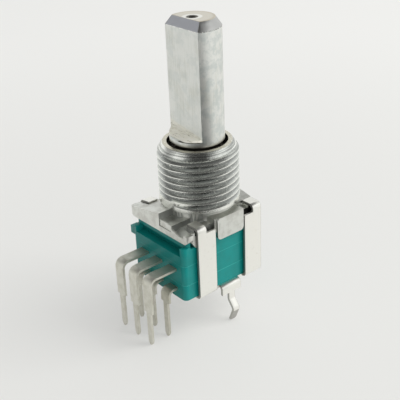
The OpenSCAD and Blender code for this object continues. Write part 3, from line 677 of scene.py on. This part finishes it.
# %% [markdown]
# The thread
#
# The bushing's thread has a pitch of 0.75 mm, with narrow crests and wide V
# grooves. Drawing rings round a cylinder would be easier, but a thread climbs, and
# at its lower end it runs out. So a groove cutter is made the way a lathe does it:
# one section of the groove is spun round the axis while it rises, and a Boolean
# takes it from the casting.

# %% Spin the groove cutter
PITCH = 0.75
GROOVE_DEPTH = 0.36
GROOVE_HALF_W = 0.33
GROOVE_FLOOR_HALF_W = 0.03
GROOVE_START_ANGLE = math.radians(-85)
GROOVE_START_Z = 0.58
GROOVE_TURNS = 8.75
STEPS_PER_TURN = 72
OVERSHOOT = 0.2


def groove_section(mesh):
    """A V that points to the axis, open side outwards, with a narrow floor."""
    slope = (GROOVE_HALF_W - GROOVE_FLOOR_HALF_W) / GROOVE_DEPTH
    mouth = GROOVE_HALF_W + slope * OVERSHOOT
    half = [(THREAD_R + OVERSHOOT, -mouth), (THREAD_R - GROOVE_DEPTH, -GROOVE_FLOOR_HALF_W)]
    other_half = [(r, -z) for r, z in reversed(half)]
    corners = [mesh.verts.new(Vector((r, 0, z)) * MM) for r, z in half + other_half]
    return mesh.faces.new(corners)


cutter_mesh = bmesh.new()
section = groove_section(cutter_mesh)
steps = round(GROOVE_TURNS * STEPS_PER_TURN)
rise = Vector((0, 0, GROOVE_TURNS * PITCH / steps)) * MM
bmesh.ops.spin(cutter_mesh, geom=[section, *section.edges, *section.verts], cent=(0, 0, 0),
               axis=(0, 0, 1), angle=GROOVE_TURNS * 2 * math.pi, dvec=rise, steps=steps,
               use_merge=False, use_duplicate=False)
print("cutter faces:", len(cutter_mesh.faces))

# %% [markdown]
# The end of the groove
#
# A tool that leaves the work does so over a short way, so the groove gets shallower
# and ends. Here the first part of the lowest turn is lifted out of the casting,
# and then the whole cutter is turned and raised to its place.

# %% Let the groove run out at its lower end
RUNOUT_TURNS = 0.12
RUNOUT_CLEAR = 0.05

for vert in cutter_mesh.verts:
    angle = math.atan2(vert.co.y, vert.co.x) % (2 * math.pi)
    turn = angle / (2 * math.pi)
    first_turn = vert.co.z / MM < turn * PITCH + PITCH / 2
    if first_turn and turn < RUNOUT_TURNS:
        lift = (1 - turn / RUNOUT_TURNS) * (GROOVE_DEPTH + RUNOUT_CLEAR) * MM
        radial = Vector((vert.co.x, vert.co.y, 0)).normalized()
        vert.co += radial * lift
bmesh.ops.recalc_face_normals(cutter_mesh, faces=cutter_mesh.faces)
bmesh.ops.rotate(cutter_mesh, cent=(0, 0, 0), verts=cutter_mesh.verts,
                 matrix=Matrix.Rotation(GROOVE_START_ANGLE, 3, "Z"))
bmesh.ops.translate(cutter_mesh, verts=cutter_mesh.verts,
                    vec=(0, 0, GROOVE_START_Z * MM))
print("cutter volume in mm3:", round(cutter_mesh.calc_volume() / MM ** 3, 2))

# %% [markdown]
# The casting
#
# Its edges are broken first, apart from those of the thread, and a bevel has a
# finish of its own, painted bright as a highlight. The deep walls beside the front
# block are painted darker as shade. Both are marked on the faces before the cut. An
# exact Boolean is slower than a fast one, but it leaves no open edge.

# %% Pick the casting's edges and recess walls
CASTING_EDGE_W = 0.07
PLATE_TOP_Z = -0.05
MOUTH_EDGE_Z = 6.7
RECESS_LOW = Vector((0.2, -5.5, -1.9))
RECESS_HIGH = Vector((4.6, -2.2, -0.55))
UPRIGHT = 0.5


def on_the_plate(edge):
    """Edges of the base plate and of the bushing's mouth, not its thread."""
    return all(vert.co.z < PLATE_TOP_Z * MM or vert.co.z > MOUTH_EDGE_Z * MM
               for vert in edge.verts)


def mark_recess_walls(mesh):
    """Third finish, a painted shade, for the upright walls of the recess and pocket beside the
    front block.
    """
    for face in mesh.faces:
        middle = face.calc_center_median() / MM
        inside = all(a < m < b for a, m, b in zip(RECESS_LOW, middle, RECESS_HIGH))
        if inside and abs(face.normal.z) < UPRIGHT:
            face.material_index = 2


casting_mesh = merged_copy("bushing_plate")
mark_recess_walls(casting_mesh)
# The plate's bevels take the second finish, painted bright as highlights.
count = break_edges(casting_mesh, CASTING_EDGE_W * MM, on_the_plate, finish=1)
print("casting edges bevelled:", count)

# %% Cut the thread into the casting
def scratch_object(mesh, name):
    """An object made from a bmesh, which is not a piece of the part."""
    data = bpy.data.meshes.new(name)
    mesh.to_mesh(data)
    mesh.free()
    thing = bpy.data.objects.new(name, data)
    bpy.context.scene.collection.objects.link(thing)
    return thing


blank = scratch_object(casting_mesh, "casting_blank")
dress(blank, CASTING_FINISHES)
cutter = scratch_object(cutter_mesh, "groove_cutter")
cut = blank.modifiers.new("thread", "BOOLEAN")
cut.operation = "DIFFERENCE"
cut.solver = "EXACT"
cut.object = cutter
threaded_mesh = bmesh.new()
threaded_mesh.from_object(blank, bpy.context.evaluated_depsgraph_get())
bpy.data.objects.remove(blank)
bpy.data.objects.remove(cutter)
open_edges = sum(len(edge.link_faces) != 2 for edge in threaded_mesh.edges)
print("casting faces:", len(threaded_mesh.faces), "open edges:", open_edges)
bushing = finish_piece(threaded_mesh, "threaded_bushing", "bushing_plate",
                       "fixed_body", CASTING_FINISHES)
for number, material in enumerate(CASTING_FINISHES):
    count = sum(face.material_index == number for face in bushing.data.polygons)
    print(material.name, "on", count, "faces of the casting")

# %% [markdown]
# Sheet, mouldings and terminals
#
# A shear leaves a tiny roll on one side of a sheet and a dull cut face beside it,
# and a mould leaves round edges on plastic. The rolls and round edges catch a thin
# line of light, which a sharp edge can't, and on the mouldings they are painted
# paler as highlights too. The cut faces get a finish painted dark as shade and dark
# reflection, and the down-facing faces of the legs' ends one painted darker as
# shade. Both are picked by the direction that a face points in.

# %% The frame's sheared edges and the ends of its legs
LUG_TOP_Z = -9.3
LEG_KINK_Z = -12.0
FACES_ALONG_Y = 0.35
FACES_DOWN = -0.2


def cut_face_shade_finish():
    """Dull grey with painted shade and dark reflection, a little lighter on the lugs and legs."""
    # The cut faces are dull, and painted dark grey as shade and dark reflection.
    sheared = Finish("sheared_face_painted_shade", (0.34, 0.34, 0.32), 0.55, metallic=1.0)
    on_straps = sheared.axis("Z").above(LUG_TOP_Z - 0.1, LUG_TOP_Z + 0.1)
    sheared.set("Base Color", sheared.blend(on_straps, (0.50, 0.50, 0.47), (0.34, 0.34, 0.32)))
    return sheared.material


def mark_frame_faces(mesh):
    """Second finish for the sheared edges, with painted shade; third, a painted shade, for the
    down-facing faces of the legs' ends under their kink.
    """
    for face in mesh.faces:
        if abs(face.normal.y) > FACES_ALONG_Y:
            face.material_index = 1
        elif face.calc_center_median().z < LEG_KINK_Z * MM and face.normal.z < FACES_DOWN:
            face.material_index = 2


# The down-facing faces of the legs' ends are painted darker as shade.
leg_underside_shade = Finish("leg_underside_painted_shade", (0.50, 0.49, 0.46), 0.45, metallic=1.0).material
FRAME_FINISHES = [frame_sheet, cut_face_shade_finish(), leg_underside_shade]
print("frame's finishes:", ", ".join(material.name for material in FRAME_FINISHES))

# %% Broken edges on the rest
# Piece, node, slot, finishes, width of its bevels in millimetres
OUTER_PIECES = [
    ("folded_frame", "frame", "plated_frame", FRAME_FINISHES, 0.045),
    ("moulded_housing", "top_housing", "teal_plastic", MOULDING_FINISHES, 0.07),
    ("moulded_upper_wafer", "upper_wafer", "teal_plastic", MOULDING_FINISHES, 0.05),
    ("moulded_lower_wafer", "lower_wafer", "teal_plastic", MOULDING_FINISHES, 0.05),
]
for row in ("upper", "lower"):
    for place in (1, 2, 3):
        node = f"terminal_{row}_{place}"
        OUTER_PIECES.append((f"tinned_{row}_{place}", node, "tinned_terminal", [dull_tin], 0.04))

for name, node, slot, finishes, width in OUTER_PIECES:
    mesh = merged_copy(node)
    # Bevels of the mouldings take the second finish, painted paler as highlights.
    count = break_edges(mesh, width * MM, finish=1 if finishes is MOULDING_FINISHES else 0)
    if node == "frame":
        mark_frame_faces(mesh)
    piece = finish_piece(mesh, name, node, "fixed_body", finishes)
    print(f"{name}: {count} edges bevelled, {len(piece.data.polygons)} faces")

# %% [markdown]
# Floor and background
#
# The part stands on plain white paper that fills the picture. A very wide sheet
# has no visible end from above, and from lower angles the world behind it has
# the same pale colour. More light would bleach the part, so the paper has two
# faces: the one that lights the part is plain, and the one that the camera and the
# metal see glows a little, more so away from the part, and still takes its shadow.
# What stands round the part is as large as a table, so it is sized in metres.

# %% Paper floor
FLOOR_Z = cad_box[0][2]
FLOOR_HALF_SIZE = 3.0
PAPER_COLOR = (0.80, 0.81, 0.80)
SEEN_PAPER_COLOR = (0.40, 0.405, 0.40)
SEEN_PAPER_GLOW = 0.41
GLOW_NEAR = (0.87, 0.87, 0.86)
GLOW_FAR = (1.0, 1.0, 0.99)
GLOW_FROM_MM = 25
GLOW_TO_MM = 130

floor_mesh = bmesh.new()
bmesh.ops.create_grid(floor_mesh, x_segments=1, y_segments=1, size=FLOOR_HALF_SIZE)
bmesh.ops.translate(floor_mesh, verts=floor_mesh.verts, vec=(0, 0, FLOOR_Z))
floor = scratch_object(floor_mesh, "paper_floor")
paper = Finish("paper", PAPER_COLOR, 0.6, specular=0.3)
from_part = (paper.axis("X") * paper.axis("X") + paper.axis("Y") * paper.axis("Y")).root()
glow = paper.blend(from_part.above(GLOW_FROM_MM, GLOW_TO_MM), GLOW_NEAR, GLOW_FAR)
seen_paper = paper.node("ShaderNodeBsdfPrincipled", sockets={
    "Base Color": (*SEEN_PAPER_COLOR, 1), "Roughness": 0.6, "Specular IOR Level": 0.3,
    "Emission Color": glow, "Emission Strength": SEEN_PAPER_GLOW})
lit_paper = Value(paper, paper.shader.outputs["BSDF"])
paper.show(paper.node("ShaderNodeMixShader", sockets={
    0: paper.seen(), 1: lit_paper, 2: seen_paper}))
dress(floor, [paper.material])
print("paper lies", round(-FLOOR_Z / MM, 2), "mm below the panel seat")

# %% [markdown]
# Light
#
# Metal shows what stands round it more than it shows lamps. Plastic and paper are
# lit by a soft sky that is brighter behind the part. What the metal mirrors is the
# pale backdrop with three darker parts, as a room has round a table: the ceiling,
# the front and the left. A small brighter part high on the right gives the bends
# and the chamfer their glint.

# %% Sky
SKY_BRIGHT = 1.10
SKY_DIM = 0.10
BRIGHT_SIDE = Vector((0.60, 0.65, 0.45))
BRIGHT_FROM = -0.7
BRIGHT_TO = 0.75
BACKDROP = (0.86, 0.87, 0.86)
# Parts of the room that are darker: direction, half angle in degrees, share taken away
DIM_PARTS = [
    (Vector((0.0, 0.0, 1.0)), 46, 0.85),
    (Vector((0.60, -0.48, 0.64)), 30, 0.93),
    (Vector((-0.70, -0.45, 0.56)), 18, 0.72),
]
DIM_EDGE = 14
GLEAM_SIDE = Vector((0.62, 0.57, 0.54))
GLEAM_SHARE = 0.40
GLEAM_INNER = math.radians(12)
GLEAM_OUTER = math.radians(22)

world = bpy.data.worlds.new("studio")
bpy.context.scene.world = world
world.use_nodes = True
sky = Network(world.node_tree)
direction = sky.node("ShaderNodeTexCoord")


def toward(aim):
    """How nearly a ray points to the aim, as a cosine."""
    return sky.node("ShaderNodeVectorMath", {"operation": "DOT_PRODUCT"},
                    {0: direction, 1: aim.normalized()}, output=1)


bright_part = toward(BRIGHT_SIDE).above(BRIGHT_FROM, BRIGHT_TO)
brightness = bright_part * (SKY_BRIGHT - SKY_DIM) + SKY_DIM
studio = sky.node("ShaderNodeBackground", sockets={
    "Color": (1.0, 0.99, 0.96, 1), "Strength": brightness})
pale = 1.0
for aim, half_angle, share in DIM_PARTS:
    inner = math.cos(math.radians(half_angle - DIM_EDGE / 2))
    outer = math.cos(math.radians(half_angle + DIM_EDGE / 2))
    pale = pale * (1 - share * toward(aim).above(outer, inner))
gleam = toward(GLEAM_SIDE).above(math.cos(GLEAM_OUTER), math.cos(GLEAM_INNER))
pale = pale * (1 + gleam * GLEAM_SHARE)
backdrop = sky.node("ShaderNodeBackground", sockets={
    "Color": (*BACKDROP, 1), "Strength": pale})
sky.show(sky.node("ShaderNodeMixShader", sockets={0: sky.seen(), 1: studio, 2: backdrop}))
print("sky:", len(world.node_tree.nodes), "nodes,", len(DIM_PARTS), "darker parts")

# %% [markdown]
# The lamp
#
# One large soft lamp behind the part gives the paper its faint shadow in front of
# it. A small lamp would draw a hard shadow. The metal doesn't mirror the lamp,
# because its square would show as a bright patch on every flat.

# %% Soft lamp
LAMP_PLACE = (0.27, 0.34, 0.40)
LAMP_SIZE = 0.38
LAMP_POWER = 1.80
LAMP_COLOR = (1.0, 0.985, 0.95)


def soft_lamp(name, place, size, power, color):
    """A square lamp that faces the middle of the part. Lengths are in metres."""
    data = bpy.data.lights.new(name, "AREA")
    data.shape = "SQUARE"
    data.size = size
    data.energy = power
    data.color = color
    lamp = bpy.data.objects.new(name, data)
    bpy.context.scene.collection.objects.link(lamp)
    lamp.location = place
    lamp.rotation_euler = (-Vector(place)).to_track_quat("-Z", "Y").to_euler()
    lamp.visible_glossy = False
    return lamp


lamp = soft_lamp("behind", LAMP_PLACE, LAMP_SIZE, LAMP_POWER, LAMP_COLOR)
print("lamp stands", round(lamp.location.length, 2), "m from the part")

# %% [markdown]
# The dark card
#
# The thread and the shaft are dark in their middle, because they mirror something
# dark low in front of them: the camera's shadow on the floor. A dark card that only
# metal can see stands in for that shadow as painted shade, and neither darkens the
# paper nor shows in the picture.

# %% Dark card on the floor
CARD_MIDDLE = (0.066, -0.040)
CARD_SIZE = 0.100
CARD_LIFT = 0.0001


def floor_card(name, middle, size):
    """A dark square on the floor, turned to the part, that only metal mirrors, as painted shade."""
    card_mesh = bmesh.new()
    bmesh.ops.create_grid(card_mesh, x_segments=1, y_segments=1, size=size / 2)
    card = scratch_object(card_mesh, name)
    card.location = middle
    card.rotation_euler = (0, 0, math.atan2(middle[1], middle[0]))
    dress(card, [painted_shade_card])
    for ray in ("visible_camera", "visible_diffuse", "visible_transmission",
                "visible_shadow", "visible_volume_scatter"):
        setattr(card, ray, False)
    return card


# The card's dark colour is painted shade.
painted_shade_card = Finish("painted_shade_card", (0.035, 0.037, 0.036), 0.9, specular=0.1).material
card = floor_card("card_on_floor", (*CARD_MIDDLE, FLOOR_Z + CARD_LIFT), CARD_SIZE)
print("card lies", round(Vector(CARD_MIDDLE).length / MM), "mm from the shaft's axis")

# %% [markdown]
# Colour
#
# The view transform is Standard, so a colour comes out as it was written.

# %% Finish
bpy.context.scene.view_settings.view_transform = "Standard"
